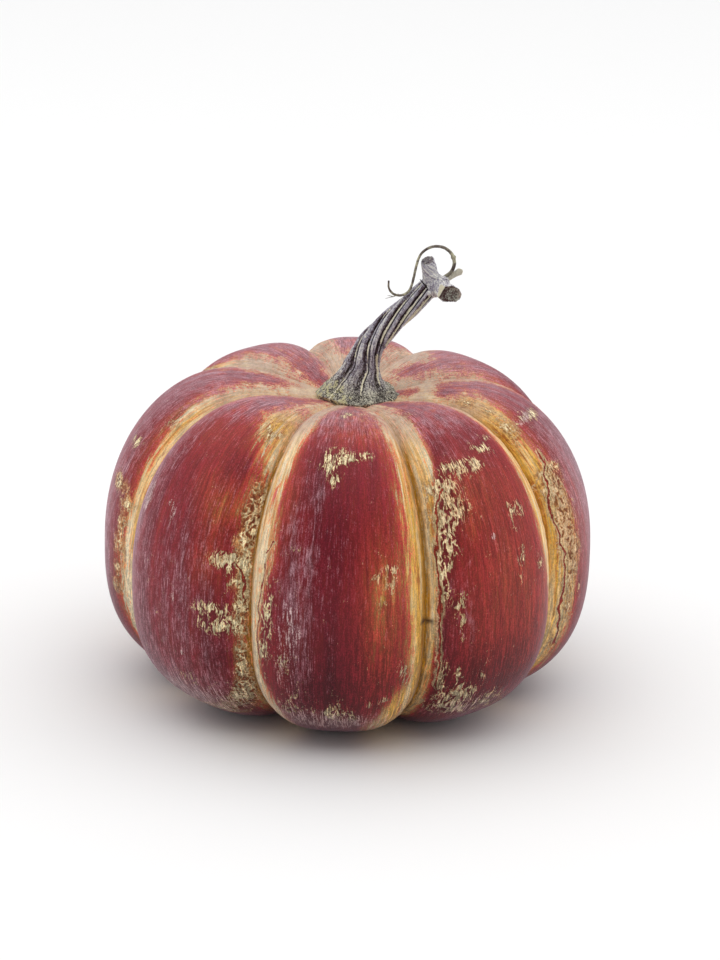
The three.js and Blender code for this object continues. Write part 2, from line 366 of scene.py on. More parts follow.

# Spots of paint and wear on each rib, kind by kind. A spot is how far across, how far along, half width, half
# length, strength and, if it isn't upright, its lean in degrees. A strength below 0 takes the kind away. Pale
# is ground with neither red nor gold, cover red paint, bare unpainted ground, gold a golden ground, scar
# cream ground torn into upright fingers, net the same torn crosswise, warm a brick-red wash, dark dense wine
# red, the next kind a mauve bloom that is partly painted sheen and reflection, fleck fine pale scratches and
# the last a dark nick in a groove. They are laid on in this order.
DABS = {
    ("pale", "right"): ((0.1, 137, 18, 6, 0.8),),
    ("pale", "back_right"): ((0.3, 125, 8, 6, 0.7),),
    ("pale", "back"): ((0, 147, 30, 15, 0.6),),
    ("pale", "back_left"): ((0.9, 118, 7, 16, 0.62),),
    ("pale", "left"): ((-0.75, 106, 9, 14, 0.75), (0, 152, 25, 9, 0.7)),
    ("cover", "right"): ((-0.5, 125, 6, 4, 0.9), (-0.2, 145, 5, 3, 0.6)),
    ("cover", "back_right"): ((-0.1, 134, 8, 6, 0.6),),
    ("cover", "back_left"): ((-0.05, 146, 5, 8, 0.85, 20),),
    ("bare", "front"): ((0.5, 22, 6, 12, 0.3), (0.44, 4, 7, 34, 0.11)),
    ("bare", "right"): ((-0.82, 104, 8, 20, 0.8),),
    ("bare", "front_left"): ((0.68, 108, 7, 13, 0.8), (0.64, 50, 9, 13, 0.12)),
    ("gold", "right"): ((-0.8, 105, 9, 25, 0.6),),
    ("gold", "front_left"): ((0.68, 108, 8, 13, 0.95),),
    ("scar", "front"): (
        (-0.11, 84, 5.5, 7, 1), (-0.09, 73, 2.5, 4, 0.8, 20), (0.13, 85.5, 6, 2, 0.75),
        (0.33, 87, 5, 2.5, 0.45), (0.52, 27, 5, 8, 0.5), (0.4, 27, 2, 3, 0.5), (0.46, 12, 3, 5, 0.45),
        (-0.03, -48, 7, 8, 0.75), (-0.48, -47, 9, 8, 0.42, -20), (-0.52, -21, 4, 6, 0.55, 20),
        (-0.46, 37, 3, 4, 0.45), (-0.75, 22, 4.5, 12, 0.6), (-0.73, 3, 4, 12, 0.48),
        (-0.79, -20, 3.5, 14, 0.55), (0.36, -42, 2, 6, 0.6, -30), (0.19, -52, 3, 6, 0.5, -20),
        (0.52, -40, 4, 3, 0.45, -30), (0.72, -27, 2.5, 9, 0.55, -8), (0.04, 121, 5, 7, 0.42),
    ),
    ("scar", "front_right"): (
        (-0.5, 76, 6, 3.5, 0.9), (-0.3, 75, 7, 4, 0.9), (-0.1, 75, 5, 2.5, 0.6, 20),
        (0.13, 82, 7, 2.5, 0.7, 30), (0.3, 86, 4, 3, 0.5), (-0.68, 58, 7, 7, 1), (-0.56, 54, 5, 4, 0.7),
        (-0.77, 48, 6, 9, 0.95), (-0.81, 34, 4.5, 9, 0.8), (-0.7, 68, 7, 5, 0.9), (-0.83, 14, 2.5, 12, 0.6),
        (-0.7, 8, 4, 6, 0.55), (-0.64, -4, 2.5, 8, 0.45), (-0.8, -34, 2.2, 12, 0.7),
        (-0.65, -31, 1.6, 6, 0.65), (-0.72, -54, 6, 9, 0.6), (-0.52, -52, 4, 9, 0.45),
        (-0.37, -31, 1.8, 5, 0.65, -30), (-0.2, -52, 18, 6, 0.4), (0.1, -60, 18, 5, 0.38),
        (0.2, 49, 6, 4, 0.6, 30), (0.1, 41, 3, 3, 0.45), (0.13, 22, 2, 9, 0.65, 6), (0.46, 18, 4, 6, 0.45),
        (-0.6, 118, 5, 3, 0.45), (-0.55, -42, 9, 9, 0.38, -20), (-0.1, -48, 12, 6, 0.38, -30),
    ),
    ("scar", "right"): (
        (-0.5, 85, 6, 2.5, 0.6, -15), (-0.18, 82, 8, 2.5, 0.65, -10), (0.05, 80, 7, 3, 0.5),
        (-0.54, -6, 2.5, 9, 0.45),
    ),
    ("scar", "left"): ((0.46, 58, 6, 3.2, 0.7), (0.78, 80, 4, 7, 0.5)),
    ("scar", "front_left"): (
        (0.74, 27, 7, 4, 0.95), (0.82, 20, 2.5, 6, 0.8), (0.68, 0, 9, 6, 0.78), (0.78, -9, 7, 4, 0.75, -15),
        (0.58, -7, 4, 4, 0.6), (0.7, 98, 5, 8, 0.7), (0.94, 48, 3, 22, 0.5), (0.92, 8, 3, 16, 0.45),
        (0.92, -32, 3, 20, 0.45), (0.28, -42, 10, 6, 0.35),
    ),
    ("net", "right"): (
        (-0.75, 50, 7, 10, 0.9), (-0.58, 56, 5, 3.5, 0.7), (-0.72, 30, 6.5, 12, 0.9),
        (-0.7, 10, 6.5, 12, 0.9), (-0.72, -12, 5.5, 12, 0.65), (-0.77, -36, 4, 11, 0.55),
        (-0.82, 82, 4, 10, 0.6), (-0.74, 112, 4, 6, 0.4), (-0.74, 96, 3.5, 9, 0.4),
    ),
    ("net", "left"): (
        (0.56, 36, 10, 4, 0.75), (0.76, 29, 4, 3, 0.7), (0.77, 12, 4.5, 14, 0.55), (0.72, -14, 5, 12, 0.5),
    ),
    ("net", "front_left"): (
        (0.92, -32, 3.5, 22, 0.8), (0.87, -50, 6, 9, 0.9), (0.7, -58, 9, 7, 0.75, 30),
        (0.56, -68, 6, 5, 0.55, 30), (0.93, 50, 4.5, 26, 1), (0.92, 8, 3.6, 18, 1),
        (0.3, -66, 16, 6, 0.5, 20), (0.68, 106, 7, 12, 0.32),
    ),
    ("warm", "front"): ((0.46, 8, 12, 42, 1), (-0.58, 62, 5, 24, 0.6), (0.25, 100, 14, 10, 0.45)),
    ("warm", "front_right"): (
        (-0.15, 15, 26, 40, 0.7), (-0.45, 50, 7, 10, 0.8), (0.32, 55, 8, 18, 0.6), (0.4, 0, 14, 30, 0.5),
        (0.7, 10, 9, 40, 0.5), (-0.35, 62, 16, 18, 0.9), (0.1, -20, 30, 24, 0.25),
    ),
    ("warm", "right"): ((-0.4, 30, 14, 40, 0.5), (-0.72, 22, 9, 44, 1)),
    ("warm", "left"): ((0.7, 70, 5, 30, 0.6), (0.72, -10, 4, 20, 0.7)),
    ("warm", "front_left"): (
        (0.6, 52, 12, 15, 1), (0.3, 62, 8, 9, 0.5), (0.55, 24, 8, 12, 0.7), (0.1, 85, 25, 14, 0.4),
    ),
    ("dark", "front"): (
        (-0.12, 45, 9, 30, 0.7), (0.1, -15, 14, 25, 0.6), (-0.3, 70, 5, 14, 0.5), (-0.05, -34, 22, 16, 0.7),
    ),
    # The wide last spot here darkens the lower front right rib, a painted shade.
    ("dark", "front_right"): ((-0.86, -10, 5, 15, 0.9), (-0.62, 88, 7, 8, 0.5), (0, -34, 34, 18, 1)),
    ("dark", "right"): ((-0.5, 125, 6, 4, 0.8),),
    ("dark", "back_left"): ((-0.05, 146, 5, 8, 0.6, 20),),
    ("dark", "front_left"): (
        (0.7, 74, 9, 9, 0.8), (0.1, 122, 14, 10, 0.8), (0.74, 42, 6, 7, 0.8), (0.72, -24, 8, 9, 0.7),
    ),
    ("haze", "front"): (
        (-0.4, 5, 8, 40, 0.55), (-0.3, 34, 4, 8, 0.6), (0, 118, 30, 18, 0.5), (0, -60, 40, 12, 0.6),
        (-0.25, 66, 6, 10, 0.5),
    ),
    ("haze", "front_right"): (
        (-0.64, 0, 5, 12, 0.35), (-0.05, -15, 44, 55, -0.16), (0.1, 112, 34, 20, 0.5),
        (-0.1, -64, 44, 8, 0.45),
    ),
    ("haze", "right"): (
        (0.1, 112, 30, 16, 0.6), (0.25, 50, 22, 50, 0.6), (-0.28, 45, 15, 50, 0.65), (-0.35, 0, 12, 30, -0.2),
    ),
    ("haze", "back_right"): ((0, 110, 36, 34, 0.85),),
    ("haze", "back"): ((0, 110, 36, 34, 0.85),),
    ("haze", "back_left"): ((0, 110, 36, 34, 0.8),),
    ("haze", "left"): ((0.1, 100, 34, 30, 0.7), (0.1, 15, 24, 60, 0.8), (0.45, 20, 9, 50, 0.6)),
    ("haze", "front_left"): (
        (-0.75, 30, 14, 80, 0.9), (-0.2, 118, 34, 18, 0.7), (0.68, 106, 8, 14, -0.6), (0.1, -50, 40, 14, 0.7),
        (0.2, -30, 40, 40, 0.3), (0.1, 0, 40, 60, 0.25),
    ),
    ("fleck", "front"): ((-0.42, 0, 6, 22, 0.5), (-0.55, -18, 8, 34, 0.5), (-0.1, -60, 40, 16, 0.75)),
    ("fleck", "front_right"): ((-0.2, 39, 2, 2, 0.9), (-0.66, -6, 5, 14, 0.4), (-0.4, -54, 30, 14, 0.6)),
    ("fleck", "right"): ((-0.3, 84, 14, 3, 0.9),),
    ("fleck", "left"): ((0.3, 2, 8, 14, 0.6),),
    ("fleck", "front_left"): (
        (-0.08, 46, 2.5, 3, 0.9), (-0.01, 40, 2, 6, 0.9, 8), (0.15, 2, 3, 4, 0.7), (0.28, -26, 2, 1.5, 1),
        (-0.55, 44, 6, 10, 1, -12), (-0.33, 12, 2, 5, 0.6), (0.1, -58, 44, 18, 0.8),
    ),
    ("soil", "front"): ((0.97, -1.6, 3, 1.3, 1),),
    ("soil", "front_right"): ((-0.97, -2.2, 2.4, 1.3, 1),),
}

# On the ribs behind: the sides that get spots, then each kind with its number on a side and its place across.
HIDDEN_SIDES = {"right": (1,), "back_right": (-1, 1), "back": (-1, 1), "back_left": (-1, 1), "left": (-1,)}
HIDDEN_KINDS = (("net", 3, 0.9), ("scar", 5, 0.7), ("warm", 2, 0.55), ("dark", 2, 0.3))
HIDDEN_SEED = 11


def hidden_dabs():
    """Spots of the same kinds on the ribs behind, placed by a fixed seed."""
    rng = random.Random(HIDDEN_SEED)
    sides = [(rib, side) for rib, sides in HIDDEN_SIDES.items() for side in sides]
    for (rib, side), (kind, count, place) in itertools.product(sides, HIDDEN_KINDS):
        grown = 2.0 if kind in ("warm", "dark") else 1.0
        for _ in range(count):
            across = side * (place + rng.uniform(-0.2, 0.06))
            wide, long = grown * rng.uniform(2.5, 6.5), grown * rng.uniform(4, 14)
            arc, lean = rng.uniform(-60, 85), rng.uniform(-20, 20)
            yield kind, rib, (across, arc, wide, long, rng.uniform(0.5, 0.95), lean)


def all_dabs():
    """Each spot's kind, rib and numbers, in the order in which they are laid on."""
    for (kind, rib), spots in DABS.items():
        for spot in spots:
            yield kind, rib, spot
    yield from hidden_dabs()


# Long cracks in the cream ground: a rib, and the places that each runs down through, across and along. Then
# how far to either side of a crack the skin belongs to it, in millimetres.
CRACKS = (
    ("right", ((-0.69, 68), (-0.70, 61), (-0.77, 56), (-0.80, 50), (-0.85, 42), (-0.86, 35), (-0.82, 26),
               (-0.79, 14), (-0.78, 0), (-0.76, -4), (-0.81, -11), (-0.83, -17), (-0.80, -24), (-0.76, -38))),
    ("front", ((-0.71, 40), (-0.80, 35))),
    ("front", ((-0.79, 28), (-0.82, 18), (-0.83, 10), (-0.87, 6), (-0.83, 1), (-0.87, -10), (-0.84, -22))),
    ("front_right", ((-0.70, 66), (-0.80, 60), (-0.86, 50), (-0.88, 42), (-0.87, 12), (-0.88, -12),
                     (-0.84, -40))),
    ("front_left", ((0.86, 25), (0.93, 20), (0.95, 8))),
    ("right", ((0.80, 62), (0.84, 50), (0.78, 38), (0.83, 20), (0.80, -6))),
    ("back", ((-0.80, 70), (-0.74, 52), (-0.80, 34), (-0.76, 8), (-0.82, -20), (-0.78, -34))),
    ("back_left", ((-0.72, 40), (-0.80, 22), (-0.76, 2))),
    ("back_right", ((-0.84, 30), (-0.78, 12), (-0.84, -14), (-0.80, -36))),
)
CRACK_REACH = 2.4

# The skin's fine relief: how far its parts stand out, how big their lumps are, a crack's half width and the
# height at which the relief reaches its full size, in millimetres.
RELIEF = {
    "cracked": 0.45, "band": 0.3, "crack": -0.4, "lump_size": 4.5, "grain_size": 2.2, "crack_width": 1.1,
    "full_at": 6.0,
}


def band_value(skin, table):
    """A value for every point from a table of knots for each rib's two sides."""
    out = np.zeros(skin.arc.shape)
    for index, name in enumerate(RIB_NAMES):
        for side in (0, 1):
            arcs, values = table(name, side)
            here = (skin.rib == index) & ((skin.across >= 0) == bool(side))
            out[here] = np.interp(skin.arc[here], arcs, values)
    return out


def tone(key):
    """One of the bands' tones as a table for band_value."""

    def table(name, side):
        value = {**PLAIN_SIDE, **BAND_TONES.get((name, side), {})}[key]
        return (TONE_ARCS, value) if isinstance(value, tuple) else ((0, 1), (value, value))

    return table


def paint_layers(skin):
    """Each layer of the fruit's paint and wear, as a value for every point of the skin."""
    edge = band_value(skin, lambda name, side: (BAND_ARCS, BAND_EDGES[name, side]))
    past_edge = (np.abs(skin.across) - edge) * skin.half_width / band_value(skin, tone("feather"))
    red = 1 / (1 + np.exp(EDGE_STEEPNESS * past_edge))
    to_groove = (1 - np.abs(skin.across)) * skin.half_width
    near = soft(skin.arc, *NEAR_STEM)
    thin = np.maximum(band_value(skin, tone("thin")), NEAR["least_red"] * near)
    # The mauve bloom, partly painted light: painted sheen on the ribs' left sides and painted reflection of
    # the light above near the stem.
    haze = SHEEN_AND_BLOOM["everywhere"] + SHEEN_AND_BLOOM["left"] * np.clip(-skin.across, 0, 1) + SHEEN_AND_BLOOM["near"] * near
    layers = {
        "cover": thin + (1 - thin) * red * (1 - NEAR["cover"] * near),
        "gold": band_value(skin, tone("gold")) * (1 - NEAR["gold"] * near),
        # the grooves' olive, darkest along the crease: partly their own colour and partly painted shade
        "deep": bell(to_groove, band_value(skin, tone("olive"))) * (1 - NEAR["deep"] * near),
        "haze": haze + SHEEN_AND_BLOOM["low"] * soft(skin.arc, *SHEEN_AND_BLOOM_THIN),
        "near": near,
        # painted shade: darker towards the bottom, and less so on the front left rib
        "low": soft(skin.arc, *PAINTED_SHADE_BELOW) * (1 - skin.dab(*LESS_PAINTED_SHADE_BELOW)),
    }
    for kind in ("scar", "net", "warm", "dark", "fleck", "soil"):
        layers[kind] = np.zeros(skin.arc.shape)
    for kind, rib, numbers in all_dabs():
        spot = skin.dab(rib, *numbers)
        if kind in ("bare", "pale"):
            layers["cover"] *= 1 - spot
            layers["gold"] *= 1 - spot * (kind == "pale")
        else:
            layers[kind] = 1 - (1 - layers[kind]) * (1 - spot)
    offsets, closeness = zip(*(skin.beside_line(rib, places) for rib, places in CRACKS))
    layers["crack"] = np.choose(np.argmax(closeness, axis=0), offsets)
    layers["split"] = np.max(closeness, axis=0)
    return layers


def raise_skin(skin, layers):
    """Lifts the cracked ground, lumps the bands beside the grooves and cuts in the long cracks."""
    bare = np.maximum(layers["scar"], layers["net"])
    lumps = noise_at(skin.points, RELIEF["lump_size"])
    grain = noise_at(skin.points, RELIEF["grain_size"], 40.0)
    lift = RELIEF["cracked"] * np.clip(bare * 1.6, 0, 1) * (0.6 + lumps + 0.6 * grain)
    lift += RELIEF["band"] * (1 - layers["cover"]) * (lumps + 0.5 * grain)
    lift += RELIEF["crack"] * bell(layers["crack"], RELIEF["crack_width"]) * layers["split"]
    lift *= np.clip(skin.points[..., 2] / RELIEF["full_at"], 0, 1)  # the spots that it stands on stay flat
    skin.points += skin.normals() * lift[..., None]


# ---------------------------------------------------------------- meshes


def placed(name, data):
    """A new object in the scene."""
    obj = bpy.data.objects.new(name, data)
    bpy.context.scene.collection.objects.link(obj)
    return obj


def mesh_object(name, points, faces, layers=None):
    """An object from points in millimetres, with values or vectors stored at its points."""
    mesh = bpy.data.meshes.new(name)
    mesh.from_pydata((np.asarray(points) * MM).tolist(), [], faces)
    mesh.shade_smooth()
    for key, values in (layers or {}).items():
        kind, field = ("FLOAT_VECTOR", "vector") if values.ndim > 1 else ("FLOAT", "value")
        store = mesh.attributes.new(key, kind, "POINT")
        store.data.foreach_set(field, values.astype(np.float32).ravel())
    return placed(name, mesh)


def tube_faces(rows, columns):
    """Quads round a grid that closes on itself, and a fan at each end round a point after the grid's."""
    ring = [(j, (j + 1) % columns) for j in range(columns)]
    starts = range(0, (rows - 1) * columns, columns)
    faces = [(i + j, i + k, i + columns + k, i + columns + j) for i in starts for j, k in ring]
    top, first, last = (rows - 1) * columns, rows * columns, rows * columns + 1
    for j, k in ring:
        faces += [(k, j, first), (top + j, top + k, last)]
    return faces


def with_ends(grid):
    """A grid's points and one more for each end, the middle of its first and of its last row."""
    grid = np.asarray(grid)
    flat = grid.reshape((-1,) + grid.shape[2:])
    ends = np.stack([grid[0].mean(axis=0), grid[-1].mean(axis=0)])
    return np.concatenate([flat, ends])


# ---------------------------------------------------------------- the stem and the tendril


def stem_line(share):
    """The stem's middle line at shares of its length: places, and the ways ahead, to the right and back."""
    a, b, c, d = (np.array(point, float) for point in STEM["line"])
    t = np.asarray(share, float)[..., None]
    s = 1 - t
    places = s**3 * a + 3 * s * s * t * b + 3 * s * t * t * c + t**3 * d
    ahead = unit(3 * s * s * (b - a) + 6 * s * t * (c - b) + 3 * t * t * (d - c))
    right = unit(np.cross((0.0, 1.0, 0.0), ahead))
    return places, ahead, right, np.cross(ahead, right)


def ridge_turn(share):
    """How far the ridges have turned round the stem, in radians."""
    start = STEM["twist_start"]
    return math.radians(STEM["twist"]) * np.clip((share - start) / (1 - start), 0, None)


def shaft_radius(share, angle):
    """The shaft's radius before its ridges, with the lobes of its foot."""
    flare = (STEM["foot_radius"] - STEM["low_radius"]) * np.exp(-share / STEM["foot_flare"])
    plain = STEM["low_radius"] + (STEM["top_radius"] - STEM["low_radius"]) * share + flare
    wave = np.cos(STEM["lobes"] * angle) * np.exp(-share / STEM["lobes_end"])
    return plain * (1 - STEM["lobe_depth"] * (1 - wave) / 2)


def shaft_grid():
    """The shaft's rings, from its root in the fruit to its rounded top."""
    low = np.linspace(0.05, 1, STEM["root_rows"])
    high = np.linspace(0, math.pi / 2 - 0.05, STEM["top_rows"])[1:]
    share = np.concatenate([0 * low, np.linspace(0, 1, STEM["rows"])[1:], 0 * high + 1])
    middle = 0 * share[len(low) : -len(high)]
    along = np.concatenate([-STEM["root"] * (1 - low**2), middle, STEM["top_radius"] * np.sin(high)])
    width = np.concatenate([np.sqrt(low), middle + 1, np.cos(high)])
    angle = angles(STEM["columns"])
    places, ahead, right, back = (part[:, None] for part in stem_line(share))
    radius = (shaft_radius(share[:, None], angle[None, :]) * width[:, None])[..., None]
    ring = right * np.sin(angle)[:, None] - back * np.cos(angle)[:, None]
    return places + ahead * along[:, None, None] + radius * ring


def ball_grid(centre, radius):
    latitudes = np.linspace(-math.pi / 2, math.pi / 2, BALL_ROWS)[1:-1]
    up, round_it = np.meshgrid(latitudes, angles(BALL_COLUMNS), indexing="ij")
    out = np.stack([np.cos(up) * np.cos(round_it), np.cos(up) * np.sin(round_it), np.sin(up)], axis=-1)
    return np.array(centre) + radius * out


def stub_frame(stub):
    """A stub's root, its length, and the ways along it, across it and upwards round it."""
    root, end = np.array(stub["from"]), np.array(stub["to"])
    ahead = unit(end - root)
    across = unit(np.cross((0.0, 1.0, 0.0) if ahead[2] > 0.7 else (0.0, 0.0, 1.0), ahead))
    return root, np.linalg.norm(end - root), ahead, across, np.cross(ahead, across)


def outline_reach(corners, angle):
    """How far the outline through corners is from its middle at an angle."""
    corners = np.array(corners)
    around = np.arctan2(corners[:, 1], corners[:, 0])
    order = np.argsort(around)
    corners, around = corners[order], around[order]
    angle = (np.asarray(angle, float) + math.pi) % (2 * math.pi) - math.pi
    second = np.searchsorted(around, angle) % len(corners)
    a, b = corners[second - 1], corners[second]
    ray = np.stack([np.cos(angle), np.sin(angle)], axis=-1)
    edge = b - a
    cross = ray[..., 0] * edge[..., 1] - ray[..., 1] * edge[..., 0]
    return (a[..., 0] * edge[..., 1] - a[..., 1] * edge[..., 0]) / cross


def stub_reach(stub, t, angle):
    """A stub's radius at a share of its length and an angle round it."""
    t = np.clip(t, 0, 1)
    reach = outline_reach(stub["outline"], angle)
    return (stub["root"] + (reach - stub["root"]) * t) * (1 - STUB_WAIST * np.sin(math.pi * t) ** 2)


def stub_grid(stub):
    root, length, ahead, across, up = stub_frame(stub)
    angle = angles(STUB_COLUMNS)
    rows = [(0.0, share, 0.0) for share in (0.01, 0.6)]
    rows += [(t, 1.0, 0.0) for t in np.linspace(0, 1, STUB_ROWS)]
    rows[-2:] = [(1 - 0.06 * stub["rim"], 1.0, 0.0), (1 - 0.02 * stub["rim"], 0.97, 0.0)]
    for share in END_RINGS:
        rows.append((1.0, share, stub["hollow"] * min(1, (END_RINGS[0] - share) / 0.3)))
    t, share, sink = (np.array(column)[:, None] for column in zip(*rows))
    reach = stub_reach(stub, t, angle[None, :]) * share
    x, y = reach * np.cos(angle), reach * np.sin(angle)
    slant = stub["slant"][0] * x + stub["slant"][1] * y
    u = length * t - sink + t * slant
    return root + u[..., None] * ahead + x[..., None] * across + y[..., None] * up


def tube_grid(path, widths, depths, columns):
    """Rings round a path, as wide as widths seen from the front and as deep as depths."""
    ahead = unit(np.gradient(path, axis=0))[:, None]
    wide = unit(np.cross(ahead, (0.0, 1.0, 0.0)))
    deep = np.cross(ahead, wide)
    angle = angles(columns)[None, :, None]
    widths, depths = (np.asarray(size)[:, None, None] for size in (widths, depths))
    return path[:, None] + wide * widths * np.cos(angle) + deep * depths * np.sin(angle)


def smooth_path(places, steps):
    """A centripetal Catmull-Rom line through places, in steps from each to the next."""
    places = np.array(places, float)
    ends = np.concatenate([2 * places[:1] - places[1:2], places, 2 * places[-1:] - places[-2:-1]])
    t = np.linspace(0, 1, steps, endpoint=False)[:, None]
    parts = []
    for a, b, c, d in zip(ends, ends[1:], ends[2:], ends[3:]):
        before, here, after = (np.linalg.norm(q - p) ** 0.5 for p, q in ((a, b), (b, c), (c, d)))
        leave = (b - a) * here / before - (c - a) * here / (before + here) + (c - b)
        arrive = (c - b) - (d - b) * here / (here + after) + (d - c) * here / after
        curve = b + leave * t + (3 * (c - b) - 2 * leave - arrive) * t**2
        parts.append(curve + (2 * (b - c) + leave + arrive) * t**3)
    return np.concatenate(parts + [places[-1:]])


def joined(pieces):
    """One list of points and one of faces from several."""
    points, faces = [], []
    for some_points, some_faces in pieces:
        start = sum(len(part) for part in points)
        points.append(some_points)
        faces += [tuple(corner + start for corner in face) for face in some_faces]
    return np.concatenate(points), faces


def closed(grid):
    """The points and faces of a grid with its ends closed."""
    return with_ends(grid), tube_faces(*grid.shape[:2])


def one_skin(pieces, size):
    """Closed pieces that overlap, as the points and faces of one even skin with faces of a size."""
    rough = mesh_object("rough", *joined(pieces))
    merge = rough.modifiers.new("merge", "REMESH")
    merge.mode = "VOXEL"
    merge.voxel_size = size * MM
    shaped = rough.evaluated_get(bpy.context.evaluated_depsgraph_get())
    mesh = bpy.data.meshes.new_from_object(shaped)
    points = np.empty(len(mesh.vertices) * 3, np.float32)
    mesh.vertices.foreach_get("co", points)
    faces = [tuple(face.vertices) for face in mesh.polygons]
    bpy.data.batch_remove((rough, rough.data, mesh))
    return points.reshape(-1, 3).astype(float) / MM, faces


def smoothed(points, faces, times):
    """Points moved towards their neighbours' middle."""
    faces = np.array(faces)
    count = np.zeros(len(points))
    np.add.at(count, faces, 2)
    for _ in range(times):
        total = np.zeros_like(points)
        for shift in (1, -1):
            np.add.at(total, faces, points[np.roll(faces, shift, axis=1)])
        points = points + 0.5 * (total / count[:, None] - points)
    return points


def point_normals(points, faces):
    faces = np.array(faces)
    corners = points[faces]
    flat = np.cross(corners[:, 2] - corners[:, 0], corners[:, 3] - corners[:, 1])
    normals = np.zeros_like(points)
    np.add.at(normals, faces, flat[:, None])
    return unit(normals)


def stem_places(points):
    """For points near the stem: the nearest share of its line, the angle, the radius and how far past it."""
    shares = np.linspace(0, 1, STEM["line_samples"])
    line, ahead, right, back = stem_line(shares)
    gaps = (line**2).sum(axis=1) - 2 * points @ line.T
    nearest = gaps.argmin(axis=1)
    out = points - line[nearest]
    x, y = (out * right[nearest]).sum(axis=1), -(out * back[nearest]).sum(axis=1)
    past = (out * ahead[nearest]).sum(axis=1)
    return shares[nearest], np.arctan2(x, y), np.hypot(x, y), past


def stub_places(stub, points):
    """For points near a stub: how far across, up and along it each lies, its length and its radius there."""
    root, length, ahead, across, up = stub_frame(stub)
    out = points - root
    x, y, u = out @ across, out @ up, out @ ahead
    u = u - (stub["slant"][0] * x + stub["slant"][1] * y) * soft(u, 0, length)
    return x, y, u, length, stub_reach(stub, u / length, np.arctan2(y, x))


def facet_share(points):
    """1 on the pale slice beside the second stub and 0 away from it."""
    x, y, u, length, _ = stub_places(STUBS[1], points)
    (first, last), blur = FACET["angles"], FACET["blur"]
    angle = np.degrees(np.arctan2(y, x)) % 360
    turn = FACET["turn_blur"]
    sliced = soft(angle, first - turn, first + turn) * soft(angle, last + turn, last - turn)
    back_end = length - np.interp(y, FACET["heights"], FACET["lengths"])
    return sliced * soft(u, back_end - blur, back_end + blur)


def stem_noise(kind, points):
    """One of the stem's noises at points."""
    return noise_at(points, *STEM_NOISES[kind])


def ridge_layers(share, turned, girth, length, grain):
    """The ridges' pale lines, dark furrows, deep hollows and broad tops, as if all round the whole stem."""
    line_at = np.interp(soft(share, *LINE["shifts"]), (0, 1), (RIDGES["line_at"], RIDGES["line_at_foot"]))
    ridge = (turned - np.radians(line_at)) * RIDGES["number"] / (2 * math.pi)
    wander = stem_noise("wander", np.stack([length, LINE["apart"] * np.round(ridge), 0 * length], axis=-1))
    phase = (ridge + LINE["sway"] * wander) % 1
    pitch = girth / RIDGES["number"]
    beside = np.where(phase > 0.6, phase - 1, phase) * pitch
    line = bell(beside, LINE["width"] + LINE["wander"] * wander) * (1 + 0.7 * wander).clip(0.2, 1)
    second = bell((phase - LINE["second_at"]) * pitch, LINE["second_width"])
    line = line * soft(stem_noise("broken", grain * (0.5, 0.5, 1.0)), -0.4, 0.05)
    second = second * soft(stem_noise("second", grain), 0.0, 0.3)
    return {
        "cream": np.maximum(line, 0.45 * second),
        "ink": bell(beside - LINE["furrow_at"], LINE["furrow_width"]),
        "hollow": bell(phase - RIDGES["hollow"], RIDGES["hollow_width"]),
        "ridge": np.cos(2 * math.pi * (phase - RIDGES["top"])),
    }


def stem_layers(points):
    """The stem's lines, hollows and cut ends as a value for every point, and the space of its grain."""
    share, angle, radius, past = stem_places(points)
    plain = shaft_radius(share, angle)
    turned = angle + ridge_turn(share)
    length = share * STEM["length"] + np.where(share < 0.01, past, 0)

    # How far each point lies outside the shaft, the knots and each stub. The nearest one's grain is its own.
    knots = [np.linalg.norm(points - np.array(knot["centre"]), axis=1) - knot["radius"] for knot in KNOTS]
    gaps = [np.maximum(radius - plain, np.where(share > 0.99, past, -9.0)), np.abs(knots).min(axis=0)]
    grains = [np.stack([plain * np.sin(turned), plain * np.cos(turned), length], axis=-1)]
    grains.append(points + GRAINS_APART)
    cut, side = np.zeros(len(points)), np.zeros(len(points))
    for number, stub in enumerate(STUBS):
        x, y, u, long, reach = stub_places(stub, points)
        gaps.append(np.maximum(np.hypot(x, y) - reach, u - long))
        spin = stub["twist"] * u
        grain = [x * np.cos(spin) + y * np.sin(spin), y * np.cos(spin) - x * np.sin(spin), u]
        grains.append(np.stack(grain, axis=-1) + 2 * GRAINS_APART * (number + 1))
        floor = long - stub["hollow"]
        inside = soft(u, floor - 1.3, floor - 0.5) * soft(np.hypot(x, y) / reach, 0.97, 0.88)
        cut = np.maximum(cut, inside * stub["cut"])
        # side runs across each cut end from left to right; the colour uses it to paint shade on the end's
        # left.
        side = np.where(inside > 0.01, x / np.abs(stub["outline"]).max() - 0.9 * (number == 0), side)
    here = np.abs(np.array(gaps)).argmin(axis=0)
    grain = np.choose(here[:, None], grains)
    facet = facet_share(points) * (here == 3) * (1 - cut)

    shaft = (here == 0).astype(float)
    foot = np.exp(-share / CRUST["reach"])
    bare = {key: shaft * (1 - hidden * foot) for key, hidden in CRUST["hides"].items()}
    ridges = ridge_layers(share, turned, 2 * math.pi * plain, length, grain)
    layers = {key: bare[key] * value for key, value in ridges.items()}
    lift = sum(LIFTS[key] * value for key, value in layers.items())
    del layers["ridge"]
    scales = 0.7 * stem_noise("scales", points) + 0.7 * stem_noise("flakes", points)
    scales += 0.55 * soft(-points[:, 0], 0, 10) * soft(share, 0.2, 0.06)  # more on the left of the foot
    layers["lichen"] = soft(scales, 0.35, 0.75) * foot**0.5
    layers.update(pebbled=foot * shaft, crown=1 - shaft, cut=cut, side=side, facet=facet)
    lift += LIFTS["fibres"] * stem_noise("fibres", grain * (1.0, 1.0, 0.16)) * (1 - facet)
    lift += (LIFTS["foot"] * foot + LIFTS["cut"] * cut) * stem_noise("pebbles", points)
    return layers, grain, lift


